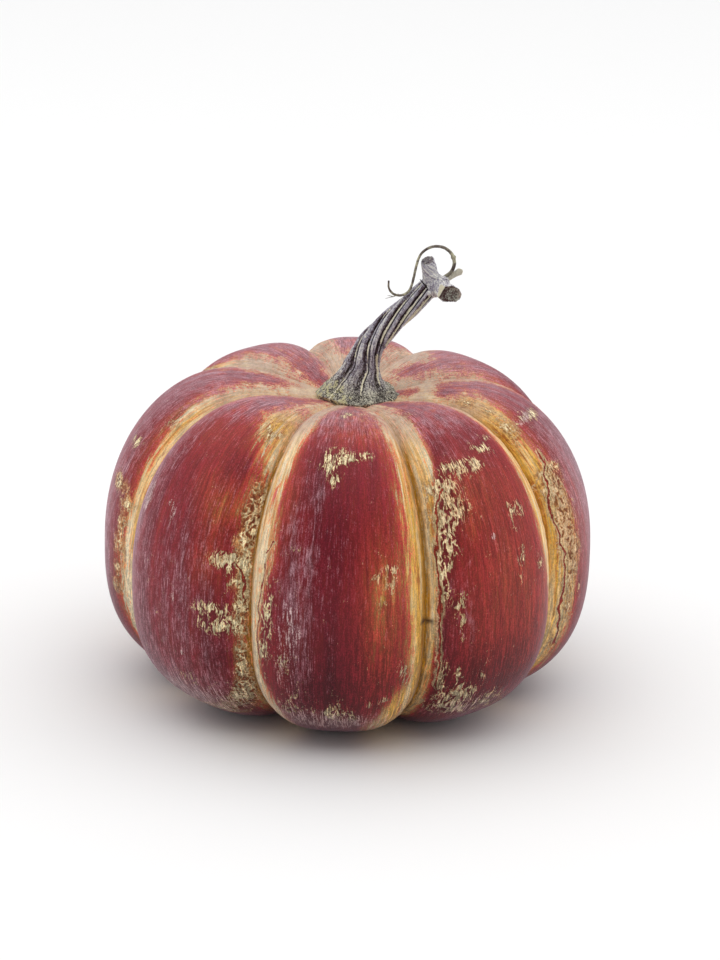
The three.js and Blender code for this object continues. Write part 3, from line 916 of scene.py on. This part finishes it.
def stem_object():
    solids = [shaft_grid()] + [ball_grid(**knot) for knot in KNOTS] + [stub_grid(stub) for stub in STUBS]
    points, faces = one_skin([closed(grid) for grid in solids], STEM["face_size"])
    points = smoothed(points, faces, STEM["smoothings"])
    layers, grain, lift = stem_layers(points)
    points = points + point_normals(points, faces) * lift[:, None]
    blade = smooth_path(SCRAP["path"], steps=8)
    along = np.linspace(0, 1, len(blade))
    half = SCRAP["widest"] * np.sqrt(np.clip(1 - along, 0.01, 1) * 6).clip(0, 1) * (0.3 + 0.7 * along)
    thin = [closed(tube_grid(blade, half, 0.15 + 0.2 * half, columns=16))]
    spur = smooth_path(SPUR["path"], steps=8)
    taper = SPUR["radius"] * np.linspace(0.5, 1, len(spur))
    thin += [closed(tube_grid(spur, taper, taper, columns=10)), closed(ball_grid(**KNOB))]
    # The knob gets a higher crown than the lumps, so it is painted a little paler, a painted highlight.
    for values, (extra, _) in zip(({"crown": 1.0, "facet": 0.75}, {"ink": 1.2}, {"crown": 1.3}), thin):
        for key, value in layers.items():
            layers[key] = np.append(value, np.full(len(extra), values.get(key, 0.0)))
        grain = np.concatenate([grain, extra])
    points, faces = joined([(points, faces)] + thin)
    layers["grain"] = grain * MM
    return mesh_object("dry_stem", points + np.array(STEM["foot"]), faces, layers)


def tendril_object():
    flat = []
    for part in ("loop", "hook"):
        arc = TENDRIL[part]
        for turn in np.linspace(0, math.radians(arc["turn"]), arc["points"]) + math.radians(arc["start"]):
            x, z = arc["centre"]
            flat.append((x + arc["radius"] * math.cos(turn), z + arc["radius"] * math.sin(turn)))
    flat.append(TENDRIL["tip"])
    depths = np.linspace(*TENDRIL["depths"], len(flat))
    path = smooth_path([(x, y, z) for (x, z), y in zip(flat, depths)], steps=12)
    along = np.linspace(0, 1, len(path))
    radius = np.interp(along, np.linspace(0, 1, len(TENDRIL["radii"])), TENDRIL["radii"])
    knob, width, swell = TENDRIL["knob"]
    radius = radius * (1 + swell * bell(along - knob, width))
    grids = [tube_grid(path, radius, radius, columns=14)]
    for name in ("thread", "branch"):
        thread = smooth_path(TENDRIL[name], steps=8)
        thin = np.linspace(*TENDRIL["thread_radii"], len(thread))
        grids.append(tube_grid(thread, thin, thin, columns=8))
    points, faces = joined([closed(grid) for grid in grids])
    bumps, size = TENDRIL["bumps"]
    points = points + bumps * noise_at(points, size)[:, None] * (1.0, 0.0, 0.6)
    return mesh_object("curled_tendril", points + np.array(STEM["foot"]), faces)


# ---------------------------------------------------------------- the fruit


def fruit_object():
    skin = Skin()
    layers = paint_layers(skin)
    raise_skin(skin, layers)
    layers["stroke"] = skin.stroke() * MM
    stored = {key: with_ends(value) for key, value in layers.items()}
    return mesh_object("painted_fruit", *closed(skin.points), stored)


# ---------------------------------------------------------------- materials


def shade(code):
    """A linear colour from a hexadecimal screen colour."""
    parts = [(code >> shift & 255) / 255 for shift in (16, 8, 0)]
    linear = [c / 12.92 if c <= 0.04045 else ((c + 0.055) / 1.055) ** 2.4 for c in parts]
    return (*linear, 1.0)


class Paint:
    """A material's nodes, with a short call for each kind. Amounts are sockets or numbers."""

    def __init__(self, name):
        self.material = bpy.data.materials.new(name)
        self.material.use_nodes = True
        self.tree = self.material.node_tree
        self.tree.nodes.clear()

    def add(self, kind, inputs=(), output=0, **settings):
        """A node with its inputs set or linked, by place or by name, and one of its outputs."""
        node = self.tree.nodes.new(kind)
        for key, value in settings.items():
            setattr(node, key, value)
        pairs = inputs.items() if isinstance(inputs, dict) else enumerate(inputs)
        for key, value in pairs:
            if isinstance(value, bpy.types.NodeSocket):
                self.tree.links.new(value, node.inputs[key])
            elif value is not None:
                node.inputs[key].default_value = value
        return node.outputs[output]

    def value(self, name):
        return self.add("ShaderNodeAttribute", output="Fac", attribute_name=name)

    def vector(self, name):
        return self.add("ShaderNodeAttribute", output="Vector", attribute_name=name)

    def math(self, operation, *inputs, clamp=False):
        return self.add("ShaderNodeMath", inputs, operation=operation, use_clamp=clamp)

    def vector_math(self, operation, *inputs):
        return self.add("ShaderNodeVectorMath", inputs, operation=operation)

    def times(self, *amounts):
        """The product of amounts."""
        out = amounts[0]
        for amount in amounts[1:]:
            out = self.math("MULTIPLY", out, amount)
        return out

    def total(self, *parts):
        """The sum of parts, each an amount or amounts to multiply."""
        terms = [self.times(*part) if isinstance(part, tuple) else part for part in parts]
        out = terms[0]
        for term in terms[1:]:
            out = self.math("ADD", out, term)
        return out

    def step(self, value, low, high):
        """0 at low, 1 at high and smooth between them."""
        inputs = {"Value": value, "From Min": low, "From Max": high}
        return self.add("ShaderNodeMapRange", inputs, interpolation_type="SMOOTHSTEP")

    def noise(self, vector, scale, detail=1.0, roughness=0.5):
        """Noise centred on 0, whose scale is in bumps for each metre along each axis of the vector."""
        stretched = self.vector_math("MULTIPLY", vector, scale)
        inputs = {"Vector": stretched, "Scale": 1.0, "Detail": detail, "Roughness": roughness}
        return self.math("SUBTRACT", self.add("ShaderNodeTexNoise", inputs, output="Fac"), 0.5)

    def ridges(self, vector, scale):
        """Winding crests at 0.5 with wider hollows between them, down to about -1."""
        waves = self.math("ABSOLUTE", self.noise(vector, scale, detail=1.5))
        return self.total((waves, -7.5), 0.5)

    def warped(self, vector, scale, reach):
        """The vector pushed about by noise, by about a reach in metres."""
        inputs = {"Vector": self.vector_math("MULTIPLY", vector, scale), "Scale": 1.0, "Detail": 1.0}
        push = self.add("ShaderNodeTexNoise", inputs, output="Color")
        centred = self.vector_math("SUBTRACT", push, (0.5, 0.5, 0.5))
        return self.vector_math("ADD", vector, self.vector_math("MULTIPLY", centred, (reach, reach, reach)))

    def mix(self, amount, first, second):
        """A colour that goes from the first to the second as the amount goes from 0 to 1."""
        inputs = {"Factor": amount, 6: first, 7: second}
        return self.add("ShaderNodeMix", inputs, output=2, data_type="RGBA", clamp_factor=True)

    def over(self, colour, code, *amounts):
        """A colour with another one over it, as much as the product of the amounts."""
        return self.mix(self.times(*amounts), colour, shade(code))

    def between(self, amount, first, second):
        """A value that goes from the first to the second as the amount goes from 0 to 1."""
        return self.add("ShaderNodeMix", {"Factor": amount, 2: first, 3: second}, data_type="FLOAT")

    def scaled(self, colour, amount):
        return self.add("ShaderNodeVectorMath", {0: colour, "Scale": amount}, operation="SCALE")

    def ramp(self, value, stops):
        """The colour for a value, from stops that each hold a value and its colour."""
        node = self.tree.nodes.new("ShaderNodeValToRGB")
        elements = node.color_ramp.elements
        while len(elements) < len(stops):
            elements.new(0.5)
        for element, (place, code) in zip(elements, stops):
            element.position = place
            element.color = shade(code)
        self.tree.links.new(value, node.inputs["Fac"])
        return node.outputs["Color"]

    def bump(self, height, distance, strength):
        return self.add("ShaderNodeBump", {"Strength": strength, "Distance": distance, "Height": height})

    def finish(self, colour, roughness, normal, **constants):
        """The material, with one shader whose other inputs are constants."""
        inputs = {"Base Color": colour, "Roughness": roughness, "Normal": normal}
        inputs.update({key.replace("_", " "): value for key, value in constants.items()})
        end = self.tree.nodes.new("ShaderNodeOutputMaterial")
        self.tree.links.new(self.add("ShaderNodeBsdfPrincipled", inputs), end.inputs["Surface"])
        return self.material


# The red paint from thin, where the ground glows through, to thick. Then the raised ground of a scar from its
# edges to its crests, darker on the sides and paler on the crests as painted shade and highlight, the stem's
# bark from its deepest hollows, painted dark as shade, to its worn ridges, the crust on the stem's foot, the
# stem's cut ends from the painted shade on their left to their paler right, and the tendril.
RED_RAMP = (
    (0.18, 0xE0B880), (0.32, 0xCE8450), (0.44, 0xB54C36), (0.56, 0x98292C), (0.70, 0x761A26),
    (0.90, 0x400A18),
)
SCAR_LIGHT_AND_SHADE_RAMP = ((0.00, 0xA47050), (0.25, 0xC6A276), (0.55, 0xDAC69A), (1.00, 0xEEE0BA))
BARK_RAMP = ((0.02, 0x231A1C), (0.26, 0x5A464E), (0.48, 0x8C8694), (0.66, 0xB6B2BC), (0.92, 0xE8E6DE))
MOSS_RAMP = ((0.15, 0x2E2A26), (0.42, 0x7C766E), (0.62, 0xA6A294), (0.90, 0xDAD8C2))
CUT_END_SHADE_RAMP = ((0.05, 0x241416), (0.32, 0x50302F), (0.56, 0x7E766E), (0.85, 0xC4C4B6))
TENDRIL_RAMP = ((0.12, 0x3A2C2A), (0.40, 0x6E645C), (0.62, 0x928C7A), (0.90, 0xBDB99C))


def skin_material():
    p = Paint("painted_skin")
    stroke, near = p.vector("stroke"), p.value("near")
    place = p.add("ShaderNodeTexCoord", output="Object")
    fine = p.noise(stroke, (1500, 1500, 150), detail=2.5, roughness=0.65)
    medium = p.noise(stroke, (560, 560, 42), detail=1.5)
    strand = p.noise(stroke, (950, 950, 55), detail=2.0, roughness=0.6)
    broad = p.noise(stroke, (150, 150, 14))
    streak = p.noise(stroke, (420, 420, 13))
    speck = p.noise(place, (1300, 1000, 1000), detail=2.5, roughness=0.7)
    clump = p.noise(place, (300, 200, 190), detail=1.5)
    flake = p.noise(place, (800, 420, 560), detail=2.0, roughness=0.65)
    powder = p.noise(place, (2200, 1700, 1300), detail=1.5)
    patch = p.noise(place, (150, 110, 110), detail=1.5)

    # The cream ground, golden in places, streaked along the ribs and speckled near the stem.
    gold = p.value("gold")
    golden = p.total(gold, (streak, 2.2), (medium, 0.8), (fine, 0.6))
    ground = p.mix(golden, shade(0xF0DCB8), shade(0xE8B450))
    ground = p.over(ground, 0xBC8A68, near, p.total((patch, 1.6), (gold, -0.4), 0.5))
    strands = p.total((strand, 2.2), (streak, 1.4), (medium, 0.6), (speck, 0.6))
    flakes = p.total((flake, 1.3), (speck, 1.5), (clump, 0.5))
    lines = p.between(near, strands, flakes)
    brown = p.mix(near, shade(0xB26834), shade(0xA8684A))
    amount = p.total((gold, 0.5), (near, -0.05), 0.46)
    ground = p.mix(p.times(p.step(lines, 0.04, 0.36), amount), ground, brown)
    ground = p.over(ground, 0xF4E8C8, p.step(lines, -0.12, -0.4), p.total((gold, -0.55), 0.8))
    stipple = p.step(p.total(powder, (speck, 0.7), (clump, 0.5)), 0.04, 0.22)
    ground = p.over(ground, 0xA88A48, stipple, p.total((near, 0.2), 0.2))
    # The grooves' olive, darkest along the crease, is partly their own colour and partly painted shade.
    ground = p.over(ground, 0xA06C08, p.value("deep"), p.total((strand, 1.8), (powder, 1.2), 1.1))

    # The red paint, brushed along the ribs, under a mauve bloom that is partly painted sheen and reflection.
    strokes = p.total((fine, 0.7), (medium, 0.4), (strand, 0.3), (broad, 0.35))
    mottles = p.total((clump, 0.3), (flake, 0.4), (patch, 0.4), (speck, 0.5), (broad, 0.3))
    laid, dark, warm = p.value("cover"), p.value("dark"), p.value("warm")
    half_laid = p.times(laid, p.total((laid, -4.0), 4.0))  # 1 where it is half laid on
    texture = p.times(p.between(near, strokes, mottles), p.total((half_laid, 1.1), 1.0))
    glow = p.times(warm, p.total((strand, 0.9), (streak, 0.4), (broad, 0.5), 0.24))
    cover = p.total(laid, texture, (speck, 0.4), (dark, 0.2), (glow, -1.0))
    red = p.ramp(p.times(cover, 0.667), RED_RAMP)
    red = p.over(red, 0x964426, warm, p.total((broad, 0.8), 0.5))
    dust_and_sheen = p.total((p.value("haze"), 0.8), (powder, 0.5), (fine, 1.1), (clump, 0.5), (broad, 0.5))
    red_under_bloom_and_sheen = p.over(red, 0xAE8890, p.step(dust_and_sheen, 0.2, 1.0), p.step(cover, 0.35, 0.8), 0.8)
    painted = p.step(cover, p.total((near, -0.24), 0.34), p.total((near, 0.25), 0.46))
    colour = p.mix(painted, ground, red_under_bloom_and_sheen)
    # Near the stem a mauve-grey dusting lies, mostly over the unpainted ground, partly painted reflection of
    # the light above.
    on_ground = p.total((p.step(cover, 0.3, 0.7), -0.72), (gold, -0.3), 0.8)
    colour = p.over(colour, 0xAC968C, p.step(dust_and_sheen, 0.1, 0.7), p.step(near, 0.0, 0.6), on_ground)

    # Scars: the paint is torn into winding fingers, and the raised cream shows between dark gaps. The gaps
    # are red paint darkened further as painted shadow, and the cream is paler on the fingers' crests and
    # darker on their sides as painted highlight and shade.
    bent = p.warped(stroke, (260, 260, 160), 0.004)
    rough = p.total((speck, 1.2), clump, (patch, 0.8))
    finger = p.total(p.ridges(bent, (620, 620, 130)), rough)
    weave = p.total(p.ridges(bent, (500, 500, 300)), rough)
    scar = p.math("MULTIPLY", p.value("scar"), p.total((patch, 2.5), (clump, 2.5), 1.6), clamp=True)
    net = p.math("MULTIPLY", p.value("net"), p.total((patch, 1.5), (clump, 1.5), 1.5), clamp=True)
    tear = p.math("MAXIMUM", p.total(finger, scar, -0.67), p.total(weave, net, -0.72))
    woven = p.mix(p.total((clump, 2.0), (flake, 2.0), 0.45), shade(0xD6A868), shade(0xAC7040))
    netted = p.step(p.total(net, (patch, 1.2), (speck, 0.8)), 0.3, 0.9)
    colour = p.mix(p.times(netted, 0.8), colour, woven)
    colour = p.over(colour, 0x5C1C1C, scar, p.step(finger, 0.1, -0.5), 0.7)
    colour = p.over(colour, 0x6C2A1A, net, p.step(weave, 0.0, -0.6), 0.85)
    bare = p.over(p.ramp(tear, SCAR_LIGHT_AND_SHADE_RAMP), 0xC4865A, warm, 0.55)
    colour = p.mix(p.step(tear, 0.06, 0.24), colour, bare)

    # The long cracks between pale lips, the pale flecks and the dark nick.
    aside = p.math("ABSOLUTE", p.total(p.value("crack"), (patch, 4.0), (clump, 2.6), (fine, 0.8)))
    split = p.step(p.value("split"), 0.3, 0.6)
    lip = p.times(p.step(p.total(aside, (speck, 3.0), (strand, 2.0)), 1.8, 1.1), split)
    line = p.times(p.step(p.total(aside, (speck, 1.2)), 0.72, 0.28), split)
    colour = p.over(p.over(colour, 0xD2BE90, lip, 0.65), 0x8E3022, line)
    fleck = p.times(p.value("fleck"), p.total((fine, 4.0), (strand, 1.5), (powder, 2.0), 1.0))
    colour = p.over(colour, 0xC6B2AC, p.step(fleck, 0.55, 0.9), 0.6)
    colour = p.over(colour, 0x2E160E, p.value("soil"))

    # Low down the colours are darkened towards a deep red as painted shade, and a fine grain runs through
    # them everywhere.
    low = p.value("low")
    colour = p.over(colour, 0x4A040A, low, p.total((painted, 0.28), 0.14))
    grain = p.total((fine, 3.4), (strand, 1.3), (medium, 0.7), (speck, 1.7), (powder, 1.6))
    grain = p.times(grain, p.total((painted, 0.4), (dark, 0.4), (low, 0.6), (near, -0.1), 0.6))
    colour = p.scaled(colour, p.total(p.math("MAXIMUM", grain, -0.36), (low, -0.26), (painted, -0.05), 1.07))

    raised = p.step(tear, 0.05, 0.5)
    height = p.total((fine, 0.7), (medium, 0.4), (speck, 0.6), (raised, 2.6), (line, -1.2), (lip, 0.5))
    roughness = p.total((raised, 0.2), (fine, 0.2), 0.5)
    sheen = {"Sheen_Weight": 0.3, "Sheen_Roughness": 0.35, "Sheen_Tint": (0.9, 0.78, 0.92, 1.0)}
    return p.finish(colour, roughness, p.bump(height, 0.0004, 0.6), Specular_IOR_Level=0.19, **sheen)


def stem_material():
    p = Paint("woody_stem")
    grain = p.vector("grain")
    fibre = p.noise(grain, (1500, 1500, 110), detail=2.0, roughness=0.6)
    streak = p.noise(grain, (900, 900, 40), detail=1.5)
    pebble = p.noise(grain, (1000, 1000, 800), detail=2.5, roughness=0.65)
    blotch = p.noise(grain, (240, 240, 140))
    speck = p.noise(grain, (2300, 2300, 1300))
    hollow, foot, side = p.value("hollow"), p.value("pebbled"), p.value("side")

    # The bark, with a crust on the foot, hollows painted darker as shade, dark furrows and pale raised lines.
    texture = p.times(p.total((fibre, 1.2), (streak, 1.2), pebble, (speck, 1.1)), p.total((foot, 0.6), 0.75))
    body = p.total(texture, (blotch, 0.6), (hollow, -0.6), (p.value("crown"), 0.1), 0.6)
    colour = p.ramp(body, BARK_RAMP)
    moss = p.total((pebble, 1.2), (speck, 2.2), (blotch, 0.8), (hollow, -0.25), 0.48)
    colour = p.mix(p.times(foot, 1.6), colour, p.ramp(moss, MOSS_RAMP))
    lichen = p.total(p.value("lichen"), pebble, (speck, 1.4), (blotch, 0.6))
    colour = p.over(colour, 0xC9C49A, p.step(lichen, 0.45, 0.75), 0.85)
    colour = p.over(colour, 0x221A1A, p.step(p.total(p.value("ink"), (pebble, 0.8)), 0.4, 0.8))
    cream = p.total(p.value("cream"), (fibre, 0.8), (pebble, 0.6), (speck, 0.8))
    colour = p.over(colour, 0xEEE8CC, p.step(cream, 0.38, 0.62))

    # The pale slice and the cut ends, whose colour is darker on their left and paler on their right as
    # painted shade and light.
    facet = p.mix(p.total((pebble, 1.5), 0.3), shade(0xE0D8BC), shade(0xB8B09A))
    colour = p.mix(p.value("facet"), colour, facet)
    pith_and_shade = p.ramp(p.total((side, 0.34), (pebble, 1.5), (speck, 1.2), (blotch, 0.8), 0.48), CUT_END_SHADE_RAMP)
    pith_and_shade = p.over(pith_and_shade, 0xB4948A, p.step(p.total(side, pebble), 0.55, 0.8))
    colour = p.mix(p.step(p.value("cut"), 0.25, 0.75), colour, pith_and_shade)
    height = p.total(fibre, (streak, 0.5), (pebble, 0.9), (speck, 0.8))
    return p.finish(colour, 0.8, p.bump(height, 0.0005, 0.8), Specular_IOR_Level=0.2)


def tendril_material():
    p = Paint("dry_tendril")
    place = p.add("ShaderNodeTexCoord", output="Object")
    mottle = p.noise(place, (700, 700, 700), detail=2.0, roughness=0.6)
    band = p.noise(place, (220, 220, 220))
    colour = p.ramp(p.total((mottle, 1.2), (band, 1.2), 0.5), TENDRIL_RAMP)
    return p.finish(colour, 0.75, p.bump(mottle, 0.0003, 0.6), Specular_IOR_Level=0.25)


# ---------------------------------------------------------------- studio

# Square soft lights facing the fruit: place and size in metres, and power in watts.
LIGHTS = {
    "top_light": ((0, 0.3, 2.5), 5.0, 105),
    "left_light": ((-1.7, 0.1, 0.7), 1.4, 7),
    "right_light": ((1.7, 0.1, 0.7), 1.4, 7),
}
ROOM_LIGHT = 0.3
FLOOR_REACH = 4000.0


def camera():
    tilt, roll = math.radians(CAMERA["elevation"]), math.radians(CAMERA["roll"])
    ahead = Vector((0, math.cos(tilt), -math.sin(tilt)))
    level, upright = Vector((1, 0, 0)), Vector((0, math.sin(tilt), math.cos(tilt)))
    right = level * math.cos(roll) + upright * math.sin(roll)
    up = upright * math.cos(roll) - level * math.sin(roll)
    place = Vector((0, 0, FRUIT["equator"])) - ahead * CAMERA["distance"]
    place += right * (PICTURE[0] / 2 - CENTRE_PIXEL[0]) / PIXELS_PER_MM
    place += up * (CENTRE_PIXEL[1] - PICTURE[1] / 2) / PIXELS_PER_MM
    data = bpy.data.cameras.new("camera")
    data.sensor_width = CAMERA["sensor"]
    data.lens = CAMERA["sensor"] * PIXELS_PER_MM * CAMERA["distance"] / max(PICTURE)
    obj = placed("camera", data)
    obj.matrix_world = Matrix.Translation(place * MM) @ Matrix((right, up, -ahead)).transposed().to_4x4()
    bpy.context.scene.camera = obj


def lights():
    target = Vector((0, 0, FRUIT["equator"] * MM))
    for name, (place, size, watts) in LIGHTS.items():
        data = bpy.data.lights.new(name, "AREA")
        data.size = size
        data.energy = watts
        obj = placed(name, data)
        obj.location = place
        obj.rotation_euler = (target - Vector(place)).to_track_quat("-Z", "Y").to_euler()


def studio():
    """An even white room and a pale floor."""
    world = bpy.data.worlds.new("studio")
    world.use_nodes = True
    background = world.node_tree.nodes["Background"]
    background.inputs["Color"].default_value = (1, 1, 1, 1)
    background.inputs["Strength"].default_value = ROOM_LIGHT
    bpy.context.scene.world = world
    corners = [(x * FLOOR_REACH, y * FLOOR_REACH, 0) for x, y in ((-1, -1), (1, -1), (1, 1), (-1, 1))]
    floor = mesh_object("floor", corners, [(0, 1, 2, 3)])
    floor.data.materials.append(Paint("floor").finish(shade(0xF4F4F4), 0.7, None, Specular_IOR_Level=0.1))
    bpy.context.scene.view_settings.view_transform = "Standard"


def dress(piece, node, material):
    piece.data.materials.append(material)
    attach(piece, "root")
    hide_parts(node)


camera()
lights()
studio()
dress(fruit_object(), "fruit", skin_material())
dress(stem_object(), "stem", stem_material())
dress(tendril_object(), "tendril", tendril_material())
